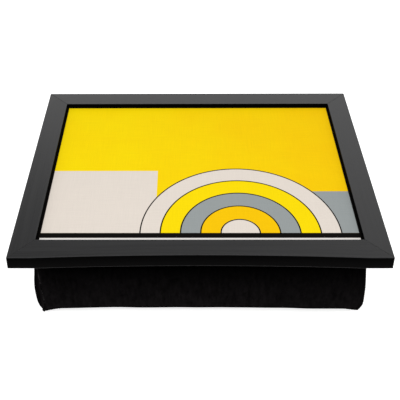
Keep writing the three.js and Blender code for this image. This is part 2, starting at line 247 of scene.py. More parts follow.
def add_object(name, data):
    """Put an object with its data into the scene."""
    made = bpy.data.objects.new(name, data)
    bpy.context.scene.collection.objects.link(made)
    return made


def new_object(name, bm):
    """Turn a bmesh into an object of the scene, at the origin."""
    mesh = bpy.data.meshes.new(name)
    bm.to_mesh(mesh)
    bm.free()
    return add_object(name, mesh)


def evaluated_mesh(piece):
    """A new mesh of a piece, as its modifiers or its curve's bevel make it."""
    graph = bpy.context.evaluated_depsgraph_get()
    return bpy.data.meshes.new_from_object(piece.evaluated_get(graph))


def shade_smooth(mesh, sharp_angle):
    """Smooth faces, with sharp edges where the surface folds by more than an angle."""
    mesh.polygons.foreach_set("use_smooth", [True] * len(mesh.polygons))
    mesh.set_sharp_from_angle(angle=sharp_angle)


def add_piece(piece, materials, replaced=()):
    """Hang a piece on the tray's body, with its finishes, and hide the CAD nodes it replaces."""
    piece.data.materials.clear()
    for material in materials:
        piece.data.materials.append(material)
    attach(piece, BODY)
    if replaced:
        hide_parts(*replaced)


def dress_node(name, material):
    """Give a CAD node its finish."""
    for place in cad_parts[name].material_slots:
        place.material = material


# Shader nodes

MIX_COLOURS = (6, 7)
MIX_RESULT = 2
STREAK_RANGE = (0.32, 0.68)
PATCH_RANGE = (0.3, 0.7)
# Patchiness and fall-off of the painted highlight on the rails' edges.
HIGHLIGHT_SCALE = 160.0
HIGHLIGHT_RANGE = (0.35, 0.65)
LEAST_HIGHLIGHT = 0.25
FULLY_HIGHLIT = 0.25


def add_node(tree, kind, inputs=None, **settings):
    """Add a shader node, set its own settings, and link or set its inputs by name or number."""
    made = tree.nodes.new(kind)
    for name, value in settings.items():
        setattr(made, name, value)
    for key, value in (inputs or {}).items():
        if isinstance(value, bpy.types.NodeSocket):
            tree.links.new(value, made.inputs[key])
        else:
            made.inputs[key].default_value = value
    return made


def calculate(tree, operation, *values):
    """A Math node's value."""
    return add_node(tree, "ShaderNodeMath", dict(enumerate(values)), operation=operation).outputs[0]


def multiply(tree, first, second):
    """The product of two values."""
    return calculate(tree, "MULTIPLY", first, second)


def remap(tree, value, from_low, from_high, to_low=0.0, to_high=1.0, smooth=False):
    """A value moved from one range to another."""
    inputs = {0: value, 1: from_low, 2: from_high, 3: to_low, 4: to_high}
    steps = "SMOOTHSTEP" if smooth else "LINEAR"
    return add_node(tree, "ShaderNodeMapRange", inputs, interpolation_type=steps).outputs[0]


def between(tree, share, low, high):
    """A share from 0 to 1 moved between two values."""
    return remap(tree, share, 0.0, 1.0, low, high)


def split(tree, vector):
    """The three parts of a vector."""
    return add_node(tree, "ShaderNodeSeparateXYZ", {0: vector}).outputs


def distance(tree, across, up, from_across, from_up):
    """How far a place of a plane lies from a point of it."""
    aside = calculate(tree, "SUBTRACT", across, from_across)
    above = calculate(tree, "SUBTRACT", up, from_up)
    squares = calculate(tree, "ADD", multiply(tree, aside, aside), multiply(tree, above, above))
    return calculate(tree, "SQRT", squares)


def blend_colours(tree, share, below, above):
    """Two colours mixed by a share."""
    inputs = {0: share}
    for key, value in zip(MIX_COLOURS, (below, above)):
        inputs[key] = value if isinstance(value, bpy.types.NodeSocket) else opaque(value)
    return add_node(tree, "ShaderNodeMix", inputs, data_type="RGBA").outputs[MIX_RESULT]


def tint(tree, shown, share):
    """A colour made lighter or darker by a share."""
    inputs = {0: shown, "Scale": share}
    return add_node(tree, "ShaderNodeVectorMath", inputs, operation="SCALE").outputs[0]


def average(tree, first, second):
    """The mean of two values."""
    return multiply(tree, calculate(tree, "ADD", first, second), 0.5)


def opaque(value):
    """A colour setting with its alpha."""
    return (*value, 1.0)


def object_coordinates(tree):
    """The piece's own coordinates, in metres."""
    return add_node(tree, "ShaderNodeTexCoord").outputs["Object"]


def noise_value(tree, vector, scale, detail=2.0, roughness=0.5):
    """Soft noise of a given scale per metre."""
    inputs = {"Vector": vector, "Scale": scale, "Detail": detail, "Roughness": roughness}
    return add_node(tree, "ShaderNodeTexNoise", inputs).outputs["Fac"]


def attribute(tree, name):
    """What is kept with the mesh under a name."""
    return add_node(tree, "ShaderNodeAttribute", attribute_name=name).outputs


def blank_tree(owner):
    """The emptied node tree of a material or a world."""
    owner.use_nodes = True
    owner.node_tree.nodes.clear()
    return owner.node_tree


def new_material(name, specular=0.5, **constants):
    """A material with one Principled shader, whose plain values are set on its own sockets."""
    material = bpy.data.materials.new(name)
    tree = blank_tree(material)
    constants["Specular IOR Level"] = specular
    shader = add_node(tree, "ShaderNodeBsdfPrincipled", constants)
    add_node(tree, "ShaderNodeOutputMaterial", {"Surface": shader.outputs["BSDF"]})
    return material, tree, shader


def link_finish(tree, shader, ink, share, rough, height, strength, depth):
    """Link a colour, a roughness between two values and a fine relief to a shader."""
    bump = add_node(tree, "ShaderNodeBump", {"Height": height, "Strength": strength, "Distance": depth})
    tree.links.new(ink, shader.inputs["Base Color"])
    tree.links.new(between(tree, share, *rough), shader.inputs["Roughness"])
    tree.links.new(bump.outputs["Normal"], shader.inputs["Normal"])


def new_group(name, output, **values):
    """A shader node group: coordinates and named values as its inputs, and one value as its output."""
    group = bpy.data.node_groups.new(name, "ShaderNodeTree")
    group.interface.new_socket(name="Coordinates", in_out="INPUT", socket_type="NodeSocketVector")
    for title, default in values.items():
        socket = group.interface.new_socket(name=title, in_out="INPUT", socket_type="NodeSocketFloat")
        socket.default_value = default
    group.interface.new_socket(name=output, in_out="OUTPUT", socket_type="NodeSocketFloat")
    given = group.nodes.new("NodeGroupInput").outputs
    return group, given, group.nodes.new("NodeGroupOutput").inputs[output]


def use_group(tree, name, place, **values):
    """Place a node group, built at its first use, in a material, and give its output."""
    if name not in bpy.data.node_groups:
        GROUP_MAKERS[name]()
    inputs = {"Coordinates": place, **values}
    return add_node(tree, "ShaderNodeGroup", inputs, node_tree=bpy.data.node_groups[name]).outputs[0]


def make_streaks_group():
    """Fine streaks that run along the first coordinate, for foil, linen, nap, board and steel."""
    group, given, result = new_group("Streaks", "Streak", Along=12.0, Across=700.0)
    along, across = given["Along"], given["Across"]
    stretch = add_node(group, "ShaderNodeCombineXYZ", {0: along, 1: across, 2: across}).outputs[0]
    inputs = {0: given["Coordinates"], 1: stretch}
    scaled = add_node(group, "ShaderNodeVectorMath", inputs, operation="MULTIPLY").outputs[0]
    streak = noise_value(group, scaled, 1.0, detail=4.0, roughness=0.6)
    group.links.new(remap(group, streak, *STREAK_RANGE), result)


def make_mottle_group():
    """Soft patches with finer ones inside them, for nap, inks, board and steel."""
    group, given, result = new_group("Mottle", "Patch", Scale=90.0, Detail=5.0)
    patch = noise_value(group, given["Coordinates"], given["Scale"], given["Detail"], roughness=0.6)
    group.links.new(remap(group, patch, *PATCH_RANGE), result)


def make_edge_highlight_group():
    """Painted highlight along a rail's rounded edges, made patchy, from its coordinates along, across and
    up.
    """
    group, given, result = new_group("Edge Highlight", "Highlight", Reach=1.8 * MM)
    _, across, up = split(group, given["Coordinates"])
    top_edge = distance(group, across, up, 0.0, OUTER_HEIGHT)
    sight_edge = distance(group, across, up, RAIL_WIDTH, RAIL_HEIGHT)
    lower_edge = distance(group, across, up, -FOOT_FLARE, FOOT_RISE)
    nearest = calculate(group, "MINIMUM", calculate(group, "MINIMUM", top_edge, sight_edge), lower_edge)
    share = calculate(group, "DIVIDE", nearest, given["Reach"])
    close = remap(group, share, FULLY_HIGHLIT, 1.0, 1.0, 0.0, smooth=True)
    lit = noise_value(group, given["Coordinates"], HIGHLIGHT_SCALE, detail=3.0, roughness=0.6)
    patchy = remap(group, lit, *HIGHLIGHT_RANGE, LEAST_HIGHLIGHT, 1.0)
    group.links.new(multiply(group, close, patchy), result)


GROUP_MAKERS = {
    "Streaks": make_streaks_group,
    "Mottle": make_mottle_group,
    "Edge Highlight": make_edge_highlight_group,
}


# Finishes

GRAIN_ATTRIBUTE = "grain"
END_ATTRIBUTE = "end_panel"
# Painted highlight beside the corner seams.
CORNER_HIGHLIGHT_ATTRIBUTE = "corner_highlight"
# Strength of the painted edge highlight on the foil.
FOIL_HIGHLIGHT = 0.6
# Streaky spread of the painted floor light on the rails' sides and lower edge.
FLOOR_LIGHT_STREAK = (0.6, 1.0)
FOOT_LIGHT_STREAK = (0.8, 1.2)
LINEN_TINT = (0.93, 1.04)
BEYOND = 1.0
INK_EDGE = 0.08 * MM
DEEPER_FROM = -0.1
DEEPER_SHARE = 0.75
CREAM_RIGHT = -52 * MM
CREAM_TOP = -6 * MM
GREY_LEFT = 112 * MM
GREY_TOP = -46 * MM
PILE_SCALE = 2600.0
NAP_RANGE = (0.2, 0.8)
STEEL_BRIGHT = (0.62, 0.63, 0.65)
STEEL_DULL = (0.42, 0.42, 0.43)


def make_foil(settings):
    """Satin black foil on the rails' tops, with fine streaks along each rail and a painted highlight on
    its rounded edges.
    """
    material, tree, shader = new_material("rail_foil", specular=0.21)
    place = attribute(tree, GRAIN_ATTRIBUTE)["Vector"]
    fine = use_group(tree, "Streaks", place, Along=9.0, Across=900.0)
    broad = use_group(tree, "Streaks", place, Along=5.0, Across=150.0)
    edge_highlight = use_group(tree, "Edge Highlight", place, Reach=settings.highlight_reach)
    streak = average(tree, fine, broad)
    ink = blend_colours(tree, streak, settings.foil, settings.streak)
    # Painted highlight along the rounded edges of the foil.
    ink = blend_colours(tree, multiply(tree, edge_highlight, FOIL_HIGHLIGHT), ink, settings.edge_highlight)
    link_finish(tree, shader, ink, streak, rough=(0.25, 0.37), height=fine, strength=0.08, depth=0.02 * MM)
    return material


def make_side_black(settings):
    """Matt black of the rails' sides with painted light from the floor: paler towards the foot, and a
    painted pale grey highlight along the rounded lower edge and underneath.
    """
    material, tree, shader = new_material("rail_side", specular=0.010)
    place = attribute(tree, GRAIN_ATTRIBUTE)["Vector"]
    streak = use_group(tree, "Streaks", place, Along=14.0, Across=300.0)
    edge_highlight = use_group(tree, "Edge Highlight", place, Reach=settings.highlight_reach)
    up = split(tree, place)["Z"]
    # Painted highlight along the rounded lower edge and underneath.
    low = remap(tree, up, FOOT_RISE, FOOT_RISE + settings.lit_foot_height, 1.0, 0.0)
    # Painted light from the floor, paler towards the foot of the sides.
    floor_lit = remap(tree, up, 0.0, OUTER_HEIGHT, 1.0, 0.0)
    floor_lit = multiply(tree, floor_lit, between(tree, streak, *FLOOR_LIGHT_STREAK))
    ink = blend_colours(tree, floor_lit, settings.side, settings.side_floor_light)
    # Painted highlight on the sides' rounded edges, shown low down with the painted floor light.
    ink = blend_colours(tree, multiply(tree, edge_highlight, floor_lit), ink, settings.edge_highlight)
    foot_light = tint(tree, settings.lit, between(tree, streak, *FOOT_LIGHT_STREAK))
    ink = blend_colours(tree, low, ink, foot_light)
    link_finish(tree, shader, ink, streak, rough=(0.55, 0.7), height=streak, strength=0.3, depth=0.03 * MM)
    return material


def inside(tree, value, low, high):
    """1 between two places and 0 outside, with a soft step at both."""
    rising = remap(tree, value, low - INK_EDGE, low + INK_EDGE)
    falling = remap(tree, value, high - INK_EDGE, high + INK_EDGE, 1.0, 0.0)
    return multiply(tree, rising, falling)


def arch(tree, away, settings):
    """Concentric bands by the distance from one point. Gives their colour and the mask they cover."""
    radius = settings.arch_radius
    inks = [settings.cream, settings.yellow, settings.grey, settings.deep_yellow, settings.cream]
    shown = inks[0]
    for index, ink in enumerate(inks):
        outer = radius * (1 - index / len(inks))
        shown = blend_colours(tree, inside(tree, away, -radius, outer), shown, ink)
        edge = inside(tree, away, outer - settings.outline, outer)
        shown = blend_colours(tree, edge, shown, settings.line)
    return shown, inside(tree, away, -radius, radius)


def make_print(settings):
    """Printed and laminated sheet: a plain arrangement of arches and blocks in flat inks."""
    material, tree, shader = new_material("laminated_print", specular=0.01)
    place = object_coordinates(tree)
    across, up, _ = split(tree, place)
    strip_top = -SIGHT_HALF_Y + settings.strip_depth
    foot = strip_top + settings.rule_depth
    left_edge = settings.border_left - SIGHT_HALF_X
    right_edge = SIGHT_HALF_X - settings.border_right
    back_edge = SIGHT_HALF_Y - settings.border_back
    weft = use_group(tree, "Streaks", place, Along=30.0, Across=1500.0)
    turned = add_node(tree, "ShaderNodeMapping", {"Vector": place, "Rotation": (0, 0, math.pi / 2)})
    warp = use_group(tree, "Streaks", turned.outputs[0], Along=30.0, Across=1500.0)
    linen = average(tree, weft, warp)
    patch = use_group(tree, "Mottle", place, Scale=14.0, Detail=3.0)

    def block(ink, below, left=-BEYOND, right=BEYOND, low=-BEYOND, high=BEYOND):
        mask = multiply(tree, inside(tree, across, left, right), inside(tree, up, low, high))
        return blend_colours(tree, mask, below, ink)

    deeper = multiply(tree, remap(tree, across, DEEPER_FROM, right_edge), DEEPER_SHARE)
    deeper = calculate(tree, "ADD", deeper, multiply(tree, patch, 1 - DEEPER_SHARE))
    shown = blend_colours(tree, deeper, settings.yellow, settings.deep_yellow)
    shown = block(settings.cream, shown, right=CREAM_RIGHT, low=foot, high=CREAM_TOP)
    shown = block(settings.grey, shown, left=GREY_LEFT, low=foot, high=GREY_TOP)
    bands, mask = arch(tree, distance(tree, across, up, settings.arch_x, foot), settings)
    shown = blend_colours(tree, mask, shown, bands)
    shown = tint(tree, shown, between(tree, linen, *LINEN_TINT))
    shown = block(settings.line, shown, low=strip_top, high=foot)
    shown = block(settings.strip, shown, high=strip_top)
    # Dark bands along the sheet's left, right and back edges, beside the rails' walls, in the outline ink.
    ink = block(shown, settings.line, left=left_edge, right=right_edge, high=back_edge)
    link_finish(tree, shader, ink, linen, rough=(0.5, 0.6), height=linen, strength=0.12, depth=0.03 * MM)
    return material


def make_fabric(name, settings, raised, flattest, patches, shade_curve):
    """Black suede-like fabric, mottled where the nap lies one way or the other, with painted shade and
    highlights.

    raised is the paler nap colour, flattest its share where the nap is pressed down, patches the number of
    patches to a metre, and shade_curve the curve of the painted shade that darkens the nap towards the
    rails.
    """
    material, tree, shader = new_material(
        name,
        specular=0.0,
        **{"Sheen Weight": 0.004, "Sheen Roughness": 0.45, "Sheen Tint": (0.30, 0.28, 0.30, 1.0)},
    )
    place = object_coordinates(tree)
    upright = add_node(tree, "ShaderNodeMapping", {"Vector": place, "Rotation": (0, math.pi / 2, 0)})
    stroke = use_group(tree, "Streaks", upright.outputs[0], Along=70.0, Across=260.0)
    patch = use_group(tree, "Mottle", place, Scale=patches, Detail=6.0)
    brushed = use_group(tree, "Mottle", place, Scale=420.0, Detail=4.0)
    pile = noise_value(tree, place, PILE_SCALE, roughness=0.7)
    mottled = average(tree, average(tree, patch, brushed), stroke)
    mottled = remap(tree, mottled, *NAP_RANGE, flattest, 1.0)
    # Painted shade: the paler nap fades out from the floor up to a little below the rails.
    low = remap(tree, split(tree, place)["Z"], 0.0, RAIL_LOW.z - settings.rail_shade, 1.0, 0.0)
    # Painted highlight beside the corner seams.
    beside = attribute(tree, CORNER_HIGHLIGHT_ATTRIBUTE)["Fac"]
    # Painted shade darkening towards the rails, plus the painted highlight beside the corner seams.
    lit = calculate(tree, "ADD", calculate(tree, "POWER", low, shade_curve), beside)
    # Painted shade on the end panels.
    panel = between(tree, attribute(tree, END_ATTRIBUTE)["Fac"], 1.0, settings.end_panel_light)
    nap = multiply(tree, mottled, multiply(tree, lit, panel))
    ink = blend_colours(tree, nap, settings.fabric, raised)
    height = calculate(tree, "ADD", pile, brushed)
    link_finish(tree, shader, ink, nap, rough=(0.95, 0.8), height=height, strength=0.35, depth=0.15 * MM)
    return material


def make_board(name, pale, dark, along, across):
    """Pressed board with its fibres."""
    material, tree, shader = new_material(name, specular=0.3)
    place = object_coordinates(tree)
    fibre = use_group(tree, "Streaks", place, Along=along, Across=across)
    patch = use_group(tree, "Mottle", place, Scale=260.0, Detail=6.0)
    share = average(tree, fibre, patch)
    ink = blend_colours(tree, share, pale, dark)
    link_finish(tree, shader, ink, share, rough=(0.7, 0.9), height=share, strength=0.3, depth=0.1 * MM)
    return material


def make_steel():
    """Drawn steel strip and wire of the nails and staples."""
    material, tree, shader = new_material("drawn_steel", Metallic=1.0)
    place = object_coordinates(tree)
    drawn = use_group(tree, "Streaks", place, Along=200.0, Across=6000.0)
    dull = use_group(tree, "Mottle", place, Scale=900.0, Detail=4.0)
    ink = blend_colours(tree, dull, STEEL_BRIGHT, STEEL_DULL)
    link_finish(tree, shader, ink, drawn, rough=(0.28, 0.45), height=drawn, strength=0.2, depth=0.01 * MM)
    return material


# Rails

RAIL_SIDES = ("front", "right", "back", "left")
SPARE_LENGTH = 4 * FOOT_FLARE
ROUND_SEGMENTS = 6
MITRE_SEGMENTS = 2
SCOOP_STEPS = 36
SLOT_DROP = 1.0 * MM
SLOT_FOOT = 2.0 * MM
SHARP = math.radians(40)
ALL_SMOOTH = math.pi
TOP_FACING = 0.35


def edges_along(bm, across, up):
    """The rail's long edge at a place of its section."""

    def near(vert):
        return math.dist(vert.co.yz, (across, up)) < TOLERANCE

    return [edge for edge in bm.edges if all(map(near, edge.verts))]


def round_edges(bm, edges, radius, segments):
    """Round a set of edges."""
    bmesh.ops.bevel(
        bm, geom=edges, offset=radius, affect="EDGES", segments=segments, profile=0.5, material=-1
    )


def moulding(settings, rail_length):
    """A straight length of the rebated moulding, with its outer top edge on y = 0.

    Its top falls a little towards the outside, and its outer face stands out a little at the foot.
    """
    lip_bottom = RAIL_HEIGHT - LIP_HEIGHT
    rebate_face = RAIL_WIDTH - REBATE_WIDTH
    section = [
        (-FOOT_FLARE, FOOT_RISE),
        (rebate_face, FOOT_RISE),
        (rebate_face, lip_bottom),
        (RAIL_WIDTH, lip_bottom),
        (RAIL_WIDTH, RAIL_HEIGHT),
        (0, OUTER_HEIGHT),
    ]
    bm = bmesh.new()
    start = bm.faces.new([bm.verts.new((-rail_length / 2, across, up)) for across, up in section])
    grown = bmesh.ops.extrude_face_region(bm, geom=[start])["geom"]
    moved = [part for part in grown if isinstance(part, bmesh.types.BMVert)]
    bmesh.ops.translate(bm, verts=moved, vec=(rail_length, 0, 0))
    bmesh.ops.recalc_face_normals(bm, faces=bm.faces)
    for across, up, radius in (
        (0, OUTER_HEIGHT, settings.top_edge),
        (RAIL_WIDTH, RAIL_HEIGHT, settings.sight_edge),
        (-FOOT_FLARE, FOOT_RISE, settings.lower_edge),
    ):
        round_edges(bm, edges_along(bm, across, up), radius, ROUND_SEGMENTS)
    return bm


def drawn_in(settings, place):
    """How far the scoop moves a point of the front rail's outer face, given along, across and up."""
    if place.y > RAIL_WIDTH - REBATE_WIDTH - TOLERANCE:
        return 0.0
    depth = settings.scoop_foot + (settings.scoop - settings.scoop_foot) * place.z / RAIL_HEIGHT
    return depth * max(0.0, 1 - (place.x / SIGHT_HALF_X) ** 2)


def cut_plane(bm, place, facing, **options):
    """Cut a whole mesh along a plane."""
    whole = bm.verts[:] + bm.edges[:] + bm.faces[:]
    return bmesh.ops.bisect_plane(
        bm, geom=whole, dist=TOLERANCE, plane_co=place, plane_no=facing, **options
    )


def scoop_front(bm, settings):
    """Draw the outer face in along an arc between the inner ends of the mitres."""
    for step in range(SCOOP_STEPS + 1):
        along = SIGHT_HALF_X * (2 * step / SCOOP_STEPS - 1)
        cut_plane(bm, (along, 0, 0), (1, 0, 0))
    for vert in bm.verts:
        vert.co.y += drawn_in(settings, vert.co)


def cut_mitres(bm, settings, rail_length):
    """Cut both ends at 45 degrees, close them and soften their edges."""
    for end in (-1, 1):
        corner = (end * (rail_length / 2 - GLUE_LINE), 0, 0)
        cut = cut_plane(bm, corner, (end, 1, 0), clear_outer=True)
        rim = [part for part in cut["geom_cut"] if isinstance(part, bmesh.types.BMEdge)]
        bmesh.ops.contextual_create(bm, geom=rim)
        round_edges(bm, rim, settings.mitre_edge, MITRE_SEGMENTS)
    bmesh.ops.recalc_face_normals(bm, faces=bm.faces)


def make_slot_cutter():
    """The V-nails in one mesh, grown by their clearance and run out through the rails' underside."""
    bm = bmesh.new()
    for name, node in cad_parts.items():
        if name.startswith("v_nail"):
            bm.from_mesh(node.data)
    bmesh.ops.remove_doubles(bm, verts=bm.verts, dist=TOLERANCE)
    bm.normal_update()
    for vert in bm.verts:
        vert.co += vert.normal * FIT_GAP
        if vert.co.z < RAIL_LOW.z + SLOT_FOOT:
            vert.co.z = RAIL_LOW.z - SLOT_DROP
    return new_object("slot_cutter", bm)


def keep_grain(mesh, to_rail, settings, scooped):
    """Keep along, across and up with every vertex, as they were before the scoop and the turn."""
    places = []
    for vert in mesh.vertices:
        place = to_rail @ vert.co
        if scooped:
            place.y -= drawn_in(settings, place)
        places.extend(place)
    mesh.attributes.new(GRAIN_ATTRIBUTE, "FLOAT_VECTOR", "POINT").data.foreach_set("vector", places)


def make_rail(side, turns, settings, cutter):
    """One rail in its place, slotted for the V-nails."""
    along, out = (TRAY_HALF.x, TRAY_HALF.y) if turns % 2 == 0 else (TRAY_HALF.y, TRAY_HALF.x)
    scooped = side == "front"
    bm = moulding(settings, 2 * along + SPARE_LENGTH)
    if scooped:
        scoop_front(bm, settings)
    cut_mitres(bm, settings, 2 * along)
    to_tray = Matrix.Rotation(turns * math.pi / 2, 4, "Z") @ Matrix.Translation((0, -out, RAIL_LOW.z))
    bmesh.ops.transform(bm, matrix=to_tray, verts=bm.verts)
    rail = new_object(f"{side}_rail", bm)
    slots = rail.modifiers.new("v_nail_slots", "BOOLEAN")
    slots.operation = "DIFFERENCE"
    slots.solver = "EXACT"
    slots.object = cutter
    slotted = evaluated_mesh(rail)
    rail.modifiers.clear()
    rail.data = slotted
    keep_grain(rail.data, to_tray.inverted(), settings, scooped)
    shade_smooth(rail.data, SHARP)
    return rail


class LAPTRAY_OT_rails(bpy.types.Operator):
    """Make the four mitred rails of the tray's frame"""

    bl_idname = "lap_tray.rails"
    bl_label = "Rails"

    def execute(self, context):
        settings = context.scene.lap_tray_frame
        foil = make_foil(settings)
        side_black = make_side_black(settings)
        cutter = make_slot_cutter()
        for turns, side in enumerate(RAIL_SIDES):
            rail = make_rail(side, turns, settings, cutter)
            add_piece(rail, [foil, side_black], [f"rail_{side}"])
            for face in rail.data.polygons:
                face.material_index = 0 if face.normal.z > TOP_FACING else 1
            flat = rail.modifiers.new("flat_faces", "WEIGHTED_NORMAL")
            flat.keep_sharp = True
        bpy.data.objects.remove(cutter)
        return {"FINISHED"}


class LAPTRAY_OT_fixings(bpy.types.Operator):
    """Give the V-nails and staples their steel"""

    bl_idname = "lap_tray.fixings"
    bl_label = "Nails and Staples"

    def execute(self, context):
        steel = make_steel()
        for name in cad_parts:
            if name.startswith(("v_nail", "staple")):
                dress_node(name, steel)
        return {"FINISHED"}


class LAPTRAY_OT_sheets(bpy.types.Operator):
    """Give the printed sheet and the two boards their finish"""

    bl_idname = "lap_tray.sheets"
    bl_label = "Print and Boards"

    def execute(self, context):
        fibreboard = make_board(
            "fibreboard", pale=(0.38, 0.26, 0.15), dark=(0.26, 0.17, 0.09), along=60.0, across=400.0
        )
        hardboard = make_board(
            "hardboard", pale=(0.17, 0.09, 0.04), dark=(0.10, 0.05, 0.02), along=120.0, across=300.0
        )
        dress_node("laminated_print", make_print(context.scene.lap_tray_print))
        dress_node("tray_board", fibreboard)
        dress_node("cushion_board", hardboard)
        return {"FINISHED"}


# Cushion

CUSHION_GRID = (70, 52, 18)
SIM_FRAMES = 20
PIN_GROUP = "held"
TIP_SHARPNESS = 8
UNDERCUT = (4.5, 6, 6, 2.5)
COLLAR_EASE = 0.85
SETTLING = 4
END_FACE = 0.999
FLAT_BASE = 0.05 * MM
COLLAR_GRIP = 4.0 * MM
MOSTLY = 0.5
CLOTH_QUALITY = 5
STEPS_PER_STITCH = 4
CORNER_SEAM = 1.5
BASE_SEAM = 1.0
STITCH_PINCH = 0.2
BUNCHING = 0.5
SEAM_ROUNDNESS = 2


def cut_into_grid(bm):
    """Divide a cube along each of its three directions."""
    for axis, count in enumerate(CUSHION_GRID):
        ring = []
        for edge in bm.edges:
            run = edge.verts[1].co - edge.verts[0].co
            if abs(run[axis]) > MOSTLY * run.length:
                ring.append(edge)
        bmesh.ops.subdivide_edgering(
            bm, edges=ring, cuts=count - 1, interp_mode="LINEAR", profile_shape="LINEAR"
        )


def towards_tip(share):
    """0 along most of a side and 1 at its corner."""
    return share ** TIP_SHARPNESS


def side_profile(settings, height, seam):
    """Outsets from the collar aside and ahead, bow of the sides and corner radius at a height."""
    at_seam = (settings.tip_aside, settings.tip_ahead, -settings.seam_draw_in, 0.0)
    at_belly = (settings.swell, settings.swell, settings.belly_bow, settings.belly_corner)
    at_collar = (0.0, 0.0, 0.0, settings.collar_corner)
    if height < settings.belly_height:
        share = (settings.belly_height - height) / (settings.belly_height - seam)
        shares = [1 - share ** power for power in UNDERCUT]
        low, high = at_seam, at_belly
    else:
        collar = RAIL_LOW.z - FIT_GAP
        share = min(1.0, (height - settings.belly_height) / (collar - settings.belly_height))
        shares = [math.sin(share ** COLLAR_EASE * math.pi / 2) ** 2] * len(UNDERCUT)
        low, high = at_belly, at_collar
    return [below + (above - below) * share for below, above, share in zip(low, high, shares)]


def seam_moved(turn, moved):
    """Where a point round a corner lies once the seam at its middle has moved by an angle."""
    middle = math.pi / 4
    seam = middle + moved
    if turn < middle:
        return turn * seam / middle
    return seam + (turn - middle) * (2 * middle - seam) / middle


def cushion_point(settings, place):
    """Where a point of the cube from -1 to 1 lies on the sewn cover before it is filled."""
    across, deep = abs(place.x), abs(place.y)
    seam = settings.seam_height + settings.seam_lift * (1 - towards_tip(min(across, deep)))
    height = seam + (FILL_HIGH.z - seam) * (place.z + 1) / 2
    aside, ahead, bow, radius = side_profile(settings, height, seam)
    fullness = max(0.0, (RAIL_LOW.z - height) / (RAIL_LOW.z - settings.belly_height))
    slump = settings.slump * min(1.0, fullness) * smoothstep(0, 1, place.x)
    half_x = COLLAR_HALF_X + aside + bow * (1 - towards_tip(deep))
    half_y = COLLAR_HALF_Y + ahead + (bow + slump) * (1 - towards_tip(across))
    x, y = half_x * across, half_y * deep
    if place.z <= -1:
        inwards = min(half_x - x, half_y - y) / settings.base_roll
        height = seam * (1 - math.sqrt(1 - max(0.0, 1 - inwards) ** 2))
    else:
        centre = Vector((half_x - radius, half_y - radius))
        corner = Vector((x, y)) - centre
        if corner.x > 0 and corner.y > 0 and corner.length > radius:
            turn = math.atan2(corner.y, corner.x)
            turn = seam_moved(turn, math.copysign(settings.cover_turn, place.x * place.y))
            x, y = centre + radius * Vector((math.cos(turn), math.sin(turn)))
    point = Vector((math.copysign(x, place.x), math.copysign(y, place.y), height))
    point.rotate(Matrix.Rotation(settings.twist * fullness, 3, "Z"))
    point.x += settings.lean * fullness ** SETTLING
    return point


def find_seams(bm):
    """The vertices of the sewn edges, found on the cube: four corners, and the base seam all round."""
    corners = {}
    base = []
    for vert in bm.verts:
        x, y, z = (round(part, 4) for part in vert.co)
        at_side = abs(x) == 1, abs(y) == 1
        if all(at_side):
            corners.setdefault((x, y), []).append((z, vert.index))
        if any(at_side) and z == -1:
            base.append((math.atan2(y, x), vert.index))
    corners = {side: [index for _, index in sorted(run)] for side, run in corners.items()}
    return corners, [index for _, index in sorted(base)]


def held_share(settings, place, point, sewn):
    """How firmly the simulation holds a vertex: the stapled collar, the resting base and the seams."""
    if point.z > RAIL_LOW.z - COLLAR_GRIP or sewn:
        return 1.0
    if place.z <= -1 and point.z < FLAT_BASE:
        return 1.0
    return settings.firmness


def corner_highlight_share(settings, place):
    """Share of painted highlight on the nap beside a corner seam that has moved round to the front or the
    back.
    """
    if abs(place.y) < END_FACE or place.x * place.y < 0:
        return 0.0
    return math.exp(-(1 - abs(place.x)) * COLLAR_HALF_X / settings.corner_highlight_reach)


def fill_with_beads(cushion, settings):
    """Press the cover out from inside by cloth simulation, and keep the capped result in its mesh."""
    cloth = cushion.modifiers.new("filling", "CLOTH")
    sim = cloth.settings
    sim.use_pressure = True
    sim.uniform_pressure_force = settings.pressure
    sim.effector_weights.gravity = 0
    sim.vertex_group_mass = PIN_GROUP
    sim.quality = CLOTH_QUALITY
    cloth.collision_settings.use_collision = False
    cloth.point_cache.frame_start = 1
    cloth.point_cache.frame_end = SIM_FRAMES
    scene = bpy.context.scene
    for moment in range(1, SIM_FRAMES + 1):
        scene.frame_set(moment)
    filled = cushion.evaluated_get(bpy.context.evaluated_depsgraph_get()).data
    for vert, moved in zip(cushion.data.vertices, filled.vertices):
        step = moved.co - vert.co
        if step.length > settings.most_swell:
            step *= settings.most_swell / step.length
        vert.co += step
        vert.co.z = max(vert.co.z, 0.0)
    cushion.modifiers.clear()
    scene.frame_set(1)


def raise_lumps(cushion, settings):
    """Raise soft lumps where beads press from inside, away from the collar and the resting base."""
    for vert in cushion.data.vertices:
        if vert.co.z > FLAT_BASE:
            free = min(1.0, (RAIL_LOW.z - vert.co.z) / settings.belly_height)
            height = settings.lump * noise.noise(vert.co / settings.lump_size)
            vert.co += vert.normal * height * max(0.0, free)
            vert.co.z = max(vert.co.z, 0.0)


def walk(points, step):
    """Points at even steps along a run of points."""
    travelled = [0.0]
    for start, end in zip(points, points[1:]):
        travelled.append(travelled[-1] + (end - start).length)
    count = round(travelled[-1] / step)
    walked = []
    leg = 0
    for number in range(count + 1):
        target = travelled[-1] * number / count
        while leg < len(points) - 2 and travelled[leg + 1] < target:
            leg += 1
        share = (target - travelled[leg]) / (travelled[leg + 1] - travelled[leg])
        walked.append(points[leg].lerp(points[leg + 1], share))
    return walked


